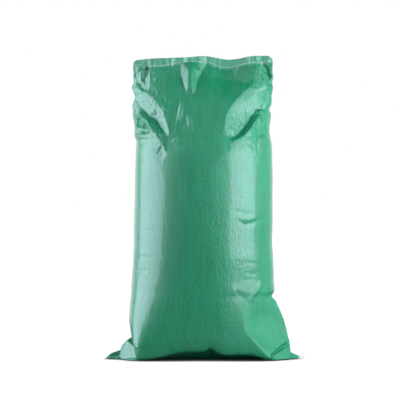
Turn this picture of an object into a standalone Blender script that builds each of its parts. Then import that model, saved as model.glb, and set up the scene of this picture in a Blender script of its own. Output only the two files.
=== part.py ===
# A filled sack of woven polypropylene, standing on its sewn bottom.
# The tube is 550 mm wide when it is empty and flat. The mouth is folded into a hem,
# gathered by pleats and closed with a chain stitch of two threads. The bottom is closed
# with a chain stitch of one thread, and its two corners are folded forward as ears.
# Front is -Y, up is +Z.
import math

import bmesh
import bpy
from mathutils import Vector, geometry

# Driving dimensions, in metres
FLAT_WIDTH = 0.550
MOUTH_LEFT = -0.2005
MOUTH_RIGHT = 0.1985
HEM_THICKNESS = 0.0024
THREAD_DIAMETER = 0.0014
STITCH_PITCH = 0.0100
THREAD_GAP = 0.0003
TAIL_LENGTH = 0.0135
POINTS_ROUND = 104

# The outline of the body: height, left reach, right reach, half the depth, and how square
# each half of the level outline is, where 2 is an ellipse. The right side is pinched at a
# height of 178 mm, and below it the filled right corner swells out to its ear. The left
# side steps in a little at a height of 608 mm, where the fill ends. Near the floor the
# body is almost a box, full to its corners.
SECTIONS = [
    (0.000, -0.1860, 0.2360, 0.1410, 22.0, 5.5),
    (0.004, -0.1877, 0.2390, 0.1455, 20.6, 5.4),
    (0.012, -0.1906, 0.2439, 0.1480, 17.8, 5.3),
    (0.026, -0.1930, 0.2472, 0.1497, 13.1, 5.1),
    (0.045, -0.1970, 0.2458, 0.1508, 8.5, 4.7),
    (0.060, -0.2010, 0.2410, 0.1510, 6.0, 4.3),
    (0.083, -0.2053, 0.2358, 0.1510, 4.4, 3.6),
    (0.106, -0.2094, 0.2299, 0.1511, 3.7, 3.1),
    (0.129, -0.2098, 0.2210, 0.1510, 3.2, 2.7),
    (0.145, -0.2088, 0.2142, 0.1510, 3.0, 2.5),
    (0.158, -0.2080, 0.2083, 0.1510, 2.9, 2.4),
    (0.170, -0.2071, 0.2000, 0.1511, 2.8, 2.3),
    (0.178, -0.2064, 0.1985, 0.1512, 2.7, 2.3),
    (0.186, -0.2059, 0.2016, 0.1513, 2.7, 2.3),
    (0.220, -0.2039, 0.2014, 0.1518, 2.5, 2.15),
    (0.277, -0.1999, 0.1997, 0.1527, 2.35, 2.1),
    (0.334, -0.1979, 0.1965, 0.1530, 2.25, 2.1),
    (0.391, -0.1971, 0.1980, 0.1529, 2.2, 2.1),
    (0.448, -0.1954, 0.1976, 0.1511, 2.15, 2.1),
    (0.516, -0.1942, 0.1980, 0.1476, 2.1, 2.1),
    (0.562, -0.1925, 0.1965, 0.1409, 2.1, 2.1),
    (0.585, -0.1917, 0.1962, 0.1355, 2.1, 2.1),
    (0.608, -0.1897, 0.1940, 0.1277, 2.1, 2.1),
    (0.618, -0.1904, 0.1923, 0.1236, 2.1, 2.1),
    (0.628, -0.1970, 0.1907, 0.1193, 2.1, 2.1),
    (0.642, -0.1976, 0.1903, 0.1131, 2.1, 2.1),
    (0.687, -0.1976, 0.1880, 0.0910, 2.05, 2.05),
    (0.710, -0.1998, 0.1916, 0.0785, 2.05, 2.05),
    (0.722, -0.2002, 0.1962, 0.0718, 2.0, 2.05),
    (0.744, -0.1980, 0.1979, 0.0589, 2.0, 2.0),
    (0.767, -0.2028, 0.1979, 0.0444, 2.0, 2.0),
    (0.790, -0.2016, 0.2005, 0.0288, 2.0, 2.0),
    (0.813, -0.2008, 0.1985, 0.0134, 2.0, 2.0),
    (0.831, -0.2004, 0.1985, 0.0016, 2.0, 2.0),
]
LARGEST_STEP = 0.034
SLACK_FROM = 0.562
SLACK_STEP = 0.0094

# The stitched line and the top edge, as height at points across the mouth
STITCH_LINE = [
    (-0.2005, 0.8310),
    (-0.1230, 0.8285),
    (-0.0380, 0.8395),
    (0.0080, 0.8395),
    (0.0605, 0.8245),
    (0.1310, 0.8360),
    (0.1990, 0.8395),
]
TOP_EDGE = [
    (-0.2005, 0.8395),
    (-0.1910, 0.8460),
    (-0.1770, 0.8480),
    (-0.0890, 0.8530),
    (-0.0380, 0.8555),
    (0.0050, 0.8585),
    (0.0620, 0.8490),
    (0.1050, 0.8515),
    (0.1280, 0.8565),
    (0.1680, 0.8585),
    (0.1900, 0.8560),
    (0.1985, 0.8480),
]
SEAM_HEIGHT = 0.8345

# The hem snakes a little towards and away from the viewer
HEM_SNAKE = [
    (-0.2005, 0.004),
    (-0.1300, -0.006),
    (-0.0300, 0.002),
    (0.0600, 0.009),
    (0.1400, -0.003),
    (0.1990, -0.002),
]

# The front bottom edge hangs clear of the floor between its corners: height by place
# across. The back edge does so half as much, the other way round.
ARCH = [
    (-0.200, 0.0000),
    (-0.176, 0.0015),
    (-0.126, 0.0072),
    (-0.065, 0.0215),
    (-0.020, 0.0245),
    (0.005, 0.0258),
    (0.0185, 0.0335),
    (0.030, 0.0262),
    (0.046, 0.0178),
    (0.102, 0.0158),
    (0.135, 0.0142),
    (0.152, 0.0100),
    (0.169, 0.0058),
    (0.191, 0.0015),
    (0.220, 0.0000),
]
BACK_ARCH = 0.5
ARCH_REACH = 0.100
FLAT_HALF_DEPTH = 0.080
ARCH_HALF_DEPTH = 0.140

# A slanting face cuts off the right front corner below the pinch: where its front edge
# lies across, by height, its turn, and the sag of the crease that ends it above
CORNER_EDGE = [
    (0.000, 0.186),
    (0.035, 0.150),
    (0.072, 0.119),
    (0.100, 0.107),
    (0.130, 0.103),
    (0.155, 0.107),
    (0.175, 0.125),
    (0.200, 0.165),
    (0.240, 0.220),
    (0.270, 0.270),
    (0.300, 0.300),
]
CORNER_TURN = 45.0
CORNER_CREASE = [
    (0.060, 0.030),
    (0.098, 0.020),
    (0.123, 0.004),
    (0.148, 0.000),
    (0.187, 0.008),
    (0.205, 0.015),
]

# The folds of the slack cloth above the fill, as crests and creases of flat facets: place
# across, height, and how many millimetres the line stands out from the smooth cloth. The
# back has the same folds the other way round.
CREASES = {
    "left_band_crest": [
        (-0.191, 0.768, 3), (-0.156, 0.748, 8), (-0.133, 0.721, 9), (-0.113, 0.695, 8),
        (-0.104, 0.666, 6), (-0.095, 0.638, 2),
    ],
    "left_valley": [
        (-0.181, 0.717, -6), (-0.155, 0.687, -9), (-0.132, 0.675, -10), (-0.115, 0.650, -8),
        (-0.098, 0.624, -4),
    ],
    "left_shoulder": [
        (-0.195, 0.700, 3), (-0.175, 0.685, 8), (-0.158, 0.670, 8), (-0.146, 0.644, 7),
        (-0.126, 0.627, 6), (-0.112, 0.599, 5), (-0.104, 0.570, 2),
    ],
    "left_shallow": [
        (-0.194, 0.647, -7), (-0.175, 0.646, -9), (-0.158, 0.639, -4),
    ],
    "left_lower": [
        (-0.178, 0.609, 0.5), (-0.146, 0.591, 1.5), (-0.129, 0.562, 1), (-0.112, 0.540, 0),
    ],
    "left_wedge": [
        (-0.160, 0.829, -7), (-0.164, 0.810, -5), (-0.168, 0.790, -3),
    ],
    "left_wedge_outer": [
        (-0.171, 0.829, 1.5), (-0.175, 0.806, 3), (-0.177, 0.790, 2),
    ],
    "left_wedge_inner": [
        (-0.148, 0.829, 1), (-0.154, 0.809, 3), (-0.159, 0.785, 3.5),
    ],
    "pleat_left_crest": [
        (-0.054, 0.841, 3), (-0.045, 0.811, 10), (-0.044, 0.779, 8), (-0.046, 0.761, 2),
    ],
    "pleat_right_crest": [
        (-0.031, 0.841, 4), (-0.030, 0.811, 10), (-0.032, 0.776, 7), (-0.029, 0.757, 2),
    ],
    "pleat_left_foot": [
        (-0.065, 0.841, 0), (-0.065, 0.813, -4), (-0.057, 0.785, -5), (-0.048, 0.755, -3),
    ],
    "pleat_right_foot": [
        (0.009, 0.837, 0), (-0.003, 0.820, -4), (-0.014, 0.794, -5), (-0.026, 0.752, -3),
    ],
    "pleat_left_outer": [
        (-0.088, 0.820, 0), (-0.082, 0.779, -1.5), (-0.071, 0.744, 0),
    ],
    "pleat_right_outer": [
        (0.023, 0.830, 0), (0.020, 0.794, -1), (0.000, 0.750, 0),
    ],
    "right_band_top": [
        (0.193, 0.766, 1), (0.156, 0.764, 4), (0.127, 0.762, 8), (0.113, 0.753, 9),
        (0.099, 0.736, 10), (0.084, 0.718, 10), (0.070, 0.695, 9), (0.062, 0.672, 8),
        (0.059, 0.646, 7), (0.064, 0.626, 4), (0.075, 0.617, 2),
    ],
    "right_crease": [
        (0.188, 0.703, -3), (0.167, 0.705, -6), (0.153, 0.706, -9), (0.138, 0.687, -13),
        (0.124, 0.661, -14), (0.106, 0.641, -11), (0.089, 0.627, -7), (0.080, 0.621, -3),
    ],
    "right_shoulder": [
        (0.191, 0.692, 1), (0.164, 0.692, 1), (0.149, 0.676, 4), (0.132, 0.650, 6),
        (0.115, 0.630, 6), (0.092, 0.615, 6), (0.075, 0.601, 5), (0.067, 0.581, 3),
    ],
    "right_lower": [
        (0.160, 0.568, 0), (0.112, 0.562, 1), (0.078, 0.545, 0.5),
    ],
    "right_hollow": [
        (0.096, 0.774, -2), (0.133, 0.782, -3), (0.169, 0.790, -3),
    ],
    "right_wedge": [
        (0.175, 0.835, -6), (0.181, 0.812, -8), (0.187, 0.790, -6), (0.190, 0.773, -3),
    ],
    "right_wedge_outer": [
        (0.194, 0.835, 0), (0.198, 0.801, 0),
    ],
    "right_wedge_inner": [
        (0.164, 0.835, 1), (0.173, 0.797, 3), (0.181, 0.776, 3),
    ],
    "seam": [
        (-0.217, 0.844, 0), (-0.128, 0.843, 0), (-0.071, 0.846, 0), (-0.037, 0.846, 1),
        (0.017, 0.844, 0), (0.071, 0.841, 0), (0.142, 0.843, 0), (0.217, 0.843, 0),
    ],
    "left_side": [
        (-0.217, 0.770, 0), (-0.217, 0.684, 0), (-0.216, 0.598, 0),
    ],
    "right_side": [
        (0.217, 0.769, 0), (0.216, 0.684, 0), (0.216, 0.598, 0),
    ],
    "fill": [
        (-0.216, 0.513, 0), (-0.112, 0.506, 0), (0.000, 0.525, 0), (0.111, 0.506, 0),
        (0.216, 0.513, 0),
    ],
    "middle": [
        (-0.014, 0.680, 0), (-0.014, 0.609, 0),
    ],
}

# Ears, the bottom corners folded forward and pressed flat: named points, then the faces
# between them. The names that start with "in" lie inside the body.
LEFT_EAR = {
    "peak": (-0.2036, -0.0660, 0.0624),
    "ridge_high": (-0.2161, -0.0800, 0.0543),
    "ridge_middle": (-0.2308, -0.0765, 0.0400),
    "ridge_low": (-0.2319, -0.0780, 0.0283),
    "ridge_end": (-0.2610, -0.0720, 0.0165),
    "tip": (-0.2750, -0.0740, 0.0050),
    "crest": (-0.2113, -0.0890, 0.0504),
    "hollow": (-0.1864, -0.1120, 0.0307),
    "fold_end": (-0.1760, -0.1240, 0.0087),
    "fold_foot": (-0.2104, -0.0995, 0.0070),
    "fold_side": (-0.2274, -0.0860, 0.0060),
    "waist": (-0.2364, -0.0770, 0.0103),
    "hem_side": (-0.2367, -0.0880, 0.0008),
    "hem_middle": (-0.2240, -0.0990, 0.0008),
    "hem_front": (-0.2080, -0.1290, 0.0008),
    "hem_end": (-0.1784, -0.1380, 0.0008),
    "back_peak": (-0.1833, 0.0300, 0.0264),
    "back_foot": (-0.1820, 0.0450, 0.0008),
    "back_middle": (-0.2394, 0.0000, 0.0008),
    "tip_low": (-0.2745, -0.0745, 0.0008),
    "in_high": (-0.1473, -0.0400, 0.0653),
    "in_front": (-0.1459, -0.1000, 0.0299),
    "in_low": (-0.1403, -0.1000, 0.0008),
}
LEFT_EAR_FACES = [
    ("peak", "crest", "hollow"),
    ("peak", "ridge_high", "crest"),
    ("ridge_high", "ridge_middle", "crest"),
    ("ridge_middle", "ridge_low", "waist", "crest"),
    ("crest", "waist", "fold_side", "hollow"),
    ("hollow", "fold_side", "fold_foot", "fold_end"),
    ("ridge_low", "ridge_end", "tip", "waist"),
    ("waist", "tip", "fold_side"),
    ("tip", "tip_low", "hem_side", "fold_side"),
    ("fold_side", "hem_side", "hem_middle", "fold_foot"),
    ("fold_foot", "hem_middle", "hem_front"),
    ("fold_foot", "hem_front", "hem_end", "fold_end"),
    ("in_high", "peak", "hollow", "in_front"),
    ("in_front", "hollow", "fold_end"),
    ("in_front", "fold_end", "hem_end", "in_low"),
    ("peak", "in_high", "back_peak"),
    ("ridge_high", "peak", "back_peak"),
    ("ridge_middle", "ridge_high", "back_peak"),
    ("ridge_low", "ridge_middle", "back_peak", "back_middle"),
    ("ridge_end", "ridge_low", "back_middle"),
    ("tip", "ridge_end", "back_middle", "tip_low"),
    ("back_middle", "back_peak", "back_foot"),
    ("tip_low", "back_middle", "back_foot", "in_low", "hem_end", "hem_front", "hem_middle", "hem_side"),
    ("in_high", "in_front", "in_low", "back_foot"),
    ("in_high", "back_foot", "back_peak"),
]
RIGHT_EAR = {
    "upper_front": (0.1882, -0.1240, 0.0193),
    "upper_middle": (0.2182, -0.0690, 0.0418),
    "upper_back": (0.2302, -0.0520, 0.0491),
    "fold_front": (0.1900, -0.1370, 0.0169),
    "fold_middle": (0.2198, -0.0860, 0.0362),
    "fold_back": (0.2373, -0.0640, 0.0465),
    "under_front": (0.1924, -0.1250, 0.0135),
    "under_middle": (0.2222, -0.0760, 0.0299),
    "under_back": (0.2389, -0.0520, 0.0400),
    "lip_front": (0.1918, -0.1420, 0.0123),
    "lip_middle": (0.2231, -0.0960, 0.0285),
    "lip_back": (0.2406, -0.0660, 0.0371),
    "side": (0.2425, -0.0620, 0.0221),
    "tip": (0.2730, -0.0600, 0.0070),
    "tip_low": (0.2725, -0.0640, 0.0008),
    "hem_side": (0.2440, -0.0920, 0.0008),
    "hem_middle": (0.2176, -0.1220, 0.0008),
    "hem_front": (0.1907, -0.1400, 0.0008),
    "back": (0.2398, 0.0100, 0.0008),
    "back_high": (0.2227, 0.0100, 0.0392),
    "in_high": (0.1701, -0.0300, 0.0306),
    "in_front": (0.1621, -0.1100, 0.0138),
    "in_low": (0.1621, -0.1100, 0.0008),
    "in_back": (0.1713, 0.0100, 0.0008),
}
RIGHT_EAR_FACES = [
    ("upper_front", "fold_front", "fold_middle", "upper_middle"),
    ("upper_middle", "fold_middle", "fold_back", "upper_back"),
    ("fold_front", "under_front", "under_middle", "fold_middle"),
    ("fold_middle", "under_middle", "under_back", "fold_back"),
    ("under_front", "lip_front", "lip_middle", "under_middle"),
    ("under_middle", "lip_middle", "lip_back", "under_back"),
    ("lip_front", "hem_front", "hem_middle", "lip_middle"),
    ("lip_middle", "hem_middle", "hem_side", "side"),
    ("lip_middle", "side", "lip_back"),
    ("side", "hem_side", "tip_low", "tip"),
    ("in_high", "in_front", "upper_front"),
    ("in_high", "upper_front", "upper_middle"),
    ("in_high", "upper_middle", "upper_back"),
    ("in_front", "in_low", "hem_front"),
    ("in_front", "hem_front", "lip_front"),
    ("in_front", "lip_front", "under_front"),
    ("in_front", "under_front", "fold_front"),
    ("in_front", "fold_front", "upper_front"),
    ("in_high", "upper_back", "back_high"),
    ("upper_back", "fold_back", "back_high"),
    ("fold_back", "under_back", "back_high"),
    ("under_back", "lip_back", "back_high"),
    ("lip_back", "side", "back_high"),
    ("side", "tip", "back", "back_high"),
    ("tip", "tip_low", "back"),
    ("tip_low", "hem_side", "hem_middle", "hem_front", "in_low", "in_back", "back"),
    ("back_high", "back", "in_back"),
    ("in_high", "back_high", "in_back"),
    ("in_high", "in_back", "in_low", "in_front"),
]

# The slot under the bottom, in which the stitches lie pressed into the hem. It runs from
# ear to ear, nearer to the front than the middle: its place in depth at each end.
SEAM_LEFT_DEPTH = -0.072
SEAM_RIGHT_DEPTH = -0.061
SLOT_WIDTH = 0.0046
SLOT_HEIGHT = 0.0022

FABRIC_COLOUR = (0.035, 0.235, 0.130)
THREAD_COLOUR = (0.78, 0.82, 0.78)


def clear_scene():
    for old in list(bpy.data.objects):
        bpy.data.objects.remove(old, do_unlink=True)


def make_material(name, colour, roughness):
    material = bpy.data.materials.new(name)
    material.use_nodes = True
    shader = material.node_tree.nodes["Principled BSDF"]
    shader.inputs["Base Color"].default_value = (*colour, 1.0)
    shader.inputs["Roughness"].default_value = roughness
    shader.inputs["Metallic"].default_value = 0.0
    return material


def smooth_read(table, at, column=1):
    """The value of a column at a place along a table, on a smooth curve through its rows."""
    if at <= table[0][0]:
        return table[0][column]
    if at >= table[-1][0]:
        return table[-1][column]
    row = max(i for i in range(len(table) - 1) if table[i][0] <= at)
    before = table[max(row - 1, 0)]
    start, end = table[row], table[row + 1]
    after = table[min(row + 2, len(table) - 1)]
    span = end[0] - start[0]
    share = (at - start[0]) / span
    start_slope = (end[column] - before[column]) / (end[0] - before[0]) * span
    end_slope = (after[column] - start[column]) / (after[0] - start[0]) * span
    return (
        start[column] * (2 * share**3 - 3 * share**2 + 1)
        + start_slope * (share**3 - 2 * share**2 + share)
        + end[column] * (3 * share**2 - 2 * share**3)
        + end_slope * (share**3 - share**2)
    )


def smooth_step(value):
    value = min(max(value, 0.0), 1.0)
    return value * value * (3 - 2 * value)


def squared(value, squareness):
    return math.copysign(abs(value) ** (2 / squareness), value)


def add_mesh(name, points, faces, material):
    mesh = bpy.data.meshes.new(name)
    mesh.from_pydata(points, [], faces)
    mesh.materials.append(material)
    thing = bpy.data.objects.new(name, mesh)
    bpy.context.scene.collection.objects.link(thing)
    shaper = bmesh.new()
    shaper.from_mesh(mesh)
    bmesh.ops.recalc_face_normals(shaper, faces=shaper.faces)
    shaper.to_mesh(mesh)
    shaper.free()
    mesh.shade_smooth()
    mesh.set_sharp_from_angle(angle=math.radians(50))
    return thing


def levels():
    """The given sections, with more between them, closest together where the cloth is slack."""
    found = []
    for low, high in zip(SECTIONS, SECTIONS[1:]):
        step = SLACK_STEP if low[0] >= SLACK_FROM else LARGEST_STEP
        pieces = max(1, round((high[0] - low[0]) / step))
        for k in range(pieces):
            height = low[0] + (high[0] - low[0]) * k / pieces
            found.append((height, *(smooth_read(SECTIONS, height, c) for c in range(1, 6))))
    found.append(SECTIONS[-1])
    return found


def behind_corner_face(x, y, height, half_depth):
    """Moves a point that lies in front of the slanting face of the right front corner onto it."""
    if x <= 0 or y >= 0.05:
        return x, y
    turn = math.radians(CORNER_TURN)
    level = height - smooth_read(CORNER_CREASE, x) * smooth_step((height - 0.07) / 0.07)
    ahead = (x - smooth_read(CORNER_EDGE, level)) * math.sin(turn) - (y + half_depth) * math.cos(turn)
    soft = 0.002 + 0.016 * smooth_step((level - 0.12) / 0.06)
    ahead = (ahead + math.hypot(ahead, soft)) / 2 * smooth_step((ahead + 0.02) / 0.05)
    ahead *= smooth_step((0.05 - y) / 0.05)
    return x - ahead * math.sin(turn), y + ahead * math.cos(turn)


def evenly_spaced(line, count):
    """The same closed line, with its points spread evenly along its length."""
    closed = line + line[:1]
    along = [0.0]
    for start, end in zip(closed, closed[1:]):
        along.append(along[-1] + math.dist(start, end))
    found, k = [], 0
    for step in range(count):
        want = along[-1] * step / count
        while along[k + 1] < want:
            k += 1
        share = (want - along[k]) / (along[k + 1] - along[k])
        found.append([a + (b - a) * share for a, b in zip(closed[k], closed[k + 1])])
    return found


def smooth_ring(section):
    """One level ring of the smooth cloth, before its folds."""
    height, left, right, half_depth, left_square, right_square = section
    middle, half_width = (left + right) / 2, (right - left) / 2
    line = []
    for step in range(8 * POINTS_ROUND):
        angle = 2 * math.pi * step / (8 * POINTS_ROUND)
        across, deep = math.cos(angle), math.sin(angle)
        square = left_square if across < 0 else right_square
        x = middle + half_width * squared(across, square)
        y = half_depth * squared(deep, square)
        line.append(behind_corner_face(x, y, height, half_depth))
    ring = []
    near_seam = smooth_step((height - 0.70) / 0.13)
    for x, y in evenly_spaced(line, POINTS_ROUND):
        z = height + near_seam * (smooth_read(STITCH_LINE, x) - SEAM_HEIGHT)
        ring.append(Vector((x, y + near_seam * smooth_read(HEM_SNAKE, x), z)))
    return ring


def fold_facets():
    """The flat facets between the crease lines, as triangles with a height at each corner."""
    spots, heights, edges = [], [], []
    for line in CREASES.values():
        for k, (x, z, out) in enumerate(line):
            if k:
                edges.append((len(spots) - 1, len(spots)))
            spots.append(Vector((x, z)))
            heights.append(out / 1000)
    made, _, faces, origin, _, _ = geometry.delaunay_2d_cdt(spots, edges, [], 0, 0.00001)
    corners = [(p.x, p.y, heights[o[0]] if o else 0.0) for p, o in zip(made, origin)]
    return [[corners[k] for k in face] for face in faces]


def fold_height(facets, x, z):
    """How far the folded cloth stands out from the smooth cloth at a place."""
    for (ax, az, ah), (bx, bz, bh), (cx, cz, ch) in facets:
        area = (bx - ax) * (cz - az) - (cx - ax) * (bz - az)
        if abs(area) < 1e-12:
            continue
        one = ((bx - x) * (cz - z) - (cx - x) * (bz - z)) / area
        two = ((cx - x) * (az - z) - (ax - x) * (cz - z)) / area
        if one >= -1e-6 and two >= -1e-6 and one + two <= 1 + 1e-6:
            return one * ah + two * bh + (1 - one - two) * ch
    return 0.0


def softened(field):
    """Each height moved towards its neighbours', so that creases are as round as stiff cloth."""
    found = []
    for k, row in enumerate(field):
        above, below = field[min(k + 1, len(field) - 1)], field[max(k - 1, 0)]
        found.append([
            0.5 * row[step] + 0.125 * (row[step - 1] + row[(step + 1) % len(row)] + above[step] + below[step])
            for step in range(len(row))
        ])
    return found


def cloth_normal(rings, k, step):
    above, below = rings[min(k + 1, len(rings) - 1)], rings[max(k - 1, 0)]
    around = rings[k][(step + 1) % POINTS_ROUND] - rings[k][step - 1]
    return around.cross(above[step] - below[step]).normalized()


def folded_rings(rings):
    """The rings with each point moved out along the cloth's normal by the height of its fold."""
    facets = fold_facets()
    normals = [[cloth_normal(rings, k, step) for step in range(POINTS_ROUND)] for k in range(len(rings))]
    field = []
    for ring, row in zip(rings, normals):
        heights = []
        for point, normal in zip(ring, row):
            front = smooth_step((-normal.y + 0.25) / 0.40) * fold_height(facets, point.x, point.z)
            back = smooth_step((normal.y + 0.25) / 0.40) * fold_height(facets, -point.x, point.z)
            heights.append(front + back)
        field.append(heights)
    field = softened(field)
    return [
        [point + normal * out for point, normal, out in zip(*rows)]
        for rows in zip(rings, normals, field)
    ]


def arched(point, height):
    """The point lifted with the bottom edge, which hangs clear of the floor in its middle."""
    lift = smooth_read(ARCH, point.x) if point.y < 0 else BACK_ARCH * smooth_read(ARCH, -point.x)
    outer = (abs(point.y) - FLAT_HALF_DEPTH) / (ARCH_HALF_DEPTH - FLAT_HALF_DEPTH)
    rise = lift * smooth_step(outer) * (1 - smooth_step(height / ARCH_REACH))
    return point + Vector((0, 0, rise))


def bottom_rings(first):
    """The underside, from its flat middle out to the first ring of the body."""
    found = []
    for along, deep in ((0.90, 0.52), (0.95, 0.68), (0.98, 0.84)):
        found.append([arched(Vector((p.x * along, p.y * deep, 0.0)), 0.0) for p in first])
    return found


def hem_ring(last, up):
    """A ring of the flat hem: up is 0 at the stitched line and 1 at the top edge."""
    ring = []
    for step, point in enumerate(last):
        side = 0 if step % (POINTS_ROUND // 2) == 0 else 1 if step < POINTS_ROUND // 2 else -1
        y = smooth_read(HEM_SNAKE, point.x) + side * HEM_THICKNESS / 2
        below, above = smooth_read(STITCH_LINE, point.x), smooth_read(TOP_EDGE, point.x)
        ring.append(Vector((point.x, y, below + up * (above - below))))
    return ring


def make_body(material):
    heights = levels()
    rings = folded_rings([smooth_ring(section) for section in heights])
    last = rings[-1]
    rings = [[arched(p, section[0]) for p in ring] for section, ring in zip(heights, rings)]
    rings = bottom_rings(rings[0]) + rings + [hem_ring(last, up) for up in (-0.10, 0.35, 1.0)]
    points = [p for ring in rings for p in ring]
    faces = [tuple(range(POINTS_ROUND))]
    for low in range(len(rings) - 1):
        for step in range(POINTS_ROUND):
            near = low * POINTS_ROUND + step
            far = low * POINTS_ROUND + (step + 1) % POINTS_ROUND
            faces.append((near, far, far + POINTS_ROUND, near + POINTS_ROUND))
    faces += top_faces((len(rings) - 1) * POINTS_ROUND)
    return add_mesh("sack", points, faces, material)


def top_faces(first):
    """Closes the top edge with a strip of faces from the front lip to the back lip."""
    half = POINTS_ROUND // 2
    strip = [(first, first + 1, first + POINTS_ROUND - 1)]
    for step in range(1, half - 1):
        back, front = first + step, first + POINTS_ROUND - step
        strip.append((back, back + 1, front - 1, front))
    strip.append((first + half - 1, first + half, first + half + 1))
    return strip


def make_ear(name, corners, sides, material):
    order = list(corners)
    faces = [[order.index(corner) for corner in side] for side in sides]
    return add_mesh(name, list(corners.values()), faces, material)


def combine(body, tool, operation):
    """Adds a shape to the body, or cuts it from it, and leaves the tool out of the model."""
    change = body.modifiers.new(tool.name, "BOOLEAN")
    change.operation = operation
    change.solver = "EXACT"
    change.object = tool
    tool.hide_render = True
    tool.display_type = "WIRE"


def seam_depth(x):
    share = x / FLAT_WIDTH + 0.5
    return SEAM_LEFT_DEPTH + (SEAM_RIGHT_DEPTH - SEAM_LEFT_DEPTH) * share


def make_slot(material):
    """The cutter for the slot under the bottom, a long bar that follows the seam."""
    reach = FLAT_WIDTH / 2 + 0.012
    points = []
    for x in (-reach, reach):
        for y in (seam_depth(x) - SLOT_WIDTH / 2, seam_depth(x) + SLOT_WIDTH / 2):
            points += [(x, y, -0.010), (x, y, SLOT_HEIGHT)]
    faces = [(0, 2, 3, 1), (4, 5, 7, 6), (0, 1, 5, 4), (2, 6, 7, 3), (1, 3, 7, 5), (0, 4, 6, 2)]
    return add_mesh("stitch_slot", points, faces, material)


def make_thread(name, route, material):
    """A thread drawn as a tube along a list of points."""
    curve = bpy.data.curves.new(name, "CURVE")
    curve.dimensions = "3D"
    curve.bevel_depth = THREAD_DIAMETER / 2
    curve.bevel_resolution = 1
    curve.use_fill_caps = True
    line = curve.splines.new("POLY")
    line.points.add(len(route) - 1)
    for point, place in zip(line.points, route):
        point.co = (*place, 1.0)
    curve.materials.append(material)
    thing = bpy.data.objects.new(name, curve)
    bpy.context.scene.collection.objects.link(thing)
    return thing


def top_thread_route(side, sway):
    """Two points for each stitch: one pressed to the hem and one standing off it."""
    first, last = MOUTH_LEFT + 0.006, MOUTH_RIGHT - 0.006
    count = 2 * round((last - first) / STITCH_PITCH)
    stand_off = HEM_THICKNESS / 2 + THREAD_GAP + THREAD_DIAMETER / 2
    route = []
    for k in range(count + 1):
        x = first + (last - first) * k / count
        y = smooth_read(HEM_SNAKE, x) + side * (stand_off + 0.0006 * (k % 2))
        z = smooth_read(STITCH_LINE, x) + 0.0025 + sway * (1 if k % 4 < 2 else -1)
        route.append(Vector((x, y, z)))
    return route


def bottom_thread_route():
    """Along the slot under the bottom, and out at each ear as a short tail."""
    half = FLAT_WIDTH / 2
    inside = half - 0.004
    count = 2 * round(2 * inside / STITCH_PITCH)
    height = THREAD_GAP + THREAD_DIAMETER / 2
    places = [
        (-half - TAIL_LENGTH, -0.004, 0.0012),
        (-half - TAIL_LENGTH / 2, -0.003, 0.0018),
        (-half - 0.002, 0.0, height),
    ]
    for k in range(count + 1):
        x = -inside + 2 * inside * k / count
        places.append((x, 0.0006 * (1 if k % 4 < 2 else -1), height))
    places.append((half + 0.002, 0.0, height))
    places.append((half + TAIL_LENGTH / 2, -0.003, 0.0050))
    places.append((half + TAIL_LENGTH, -0.004, 0.0115))
    return [Vector((x, seam_depth(x) + y, z)) for x, y, z in places]


def centre_on_base(things):
    """Moves the model so that the middle of its box stands over the origin."""
    bpy.context.view_layer.update()
    seen = bpy.context.evaluated_depsgraph_get()
    corners = []
    for thing in things:
        shape = thing.evaluated_get(seen)
        corners += [shape.matrix_world @ corner.co for corner in shape.to_mesh().vertices]
        shape.to_mesh_clear()
    middle = [(min(c[k] for c in corners) + max(c[k] for c in corners)) / 2 for k in (0, 1)]
    parent = bpy.data.objects.new("sack_origin", None)
    bpy.context.scene.collection.objects.link(parent)
    for thing in bpy.context.scene.objects:
        if thing is not parent:
            thing.parent = parent
    parent.location = (-middle[0], -middle[1], 0.0)


def main():
    clear_scene()
    fabric = make_material("woven_polypropylene", FABRIC_COLOUR, 0.38)
    thread = make_material("white_thread", THREAD_COLOUR, 0.7)
    body = make_body(fabric)
    combine(body, make_ear("left_ear_shape", LEFT_EAR, LEFT_EAR_FACES, fabric), "UNION")
    combine(body, make_ear("right_ear_shape", RIGHT_EAR, RIGHT_EAR_FACES, fabric), "UNION")
    combine(body, make_slot(fabric), "DIFFERENCE")
    threads = [
        make_thread("top_needle_thread", top_thread_route(-1, 0.0), thread),
        make_thread("top_looper_thread", top_thread_route(1, 0.0007), thread),
        make_thread("bottom_seam_thread", bottom_thread_route(), thread),
    ]
    centre_on_base([body, *threads])


main()
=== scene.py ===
# a filled sack of woven polypropylene: the cloth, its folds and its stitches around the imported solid
import math

import bmesh
import bpy
import numpy as np
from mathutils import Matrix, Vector, geometry, noise


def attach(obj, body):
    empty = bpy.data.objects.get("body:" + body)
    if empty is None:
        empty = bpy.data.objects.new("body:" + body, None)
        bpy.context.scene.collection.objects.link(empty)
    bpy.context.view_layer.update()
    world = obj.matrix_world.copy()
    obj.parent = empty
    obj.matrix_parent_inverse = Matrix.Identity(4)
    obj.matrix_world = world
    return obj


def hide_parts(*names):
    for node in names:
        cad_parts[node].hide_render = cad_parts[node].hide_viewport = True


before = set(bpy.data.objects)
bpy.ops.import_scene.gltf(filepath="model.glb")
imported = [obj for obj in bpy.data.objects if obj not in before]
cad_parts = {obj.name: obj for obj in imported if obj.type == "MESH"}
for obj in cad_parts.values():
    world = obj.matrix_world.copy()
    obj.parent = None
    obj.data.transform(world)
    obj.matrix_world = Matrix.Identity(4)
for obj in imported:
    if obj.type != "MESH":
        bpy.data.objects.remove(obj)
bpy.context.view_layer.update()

scene = bpy.context.scene
scene.view_settings.view_transform = "Standard"

# the camera looks level at the sack's front from six metres
cameraSetup = {
    "place": (-0.0093, -6.0, 0.448),
    "sensor": 36.0,
    "pixelsPerMetre": 350.9,
    "imageWidth": 400,
}


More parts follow.
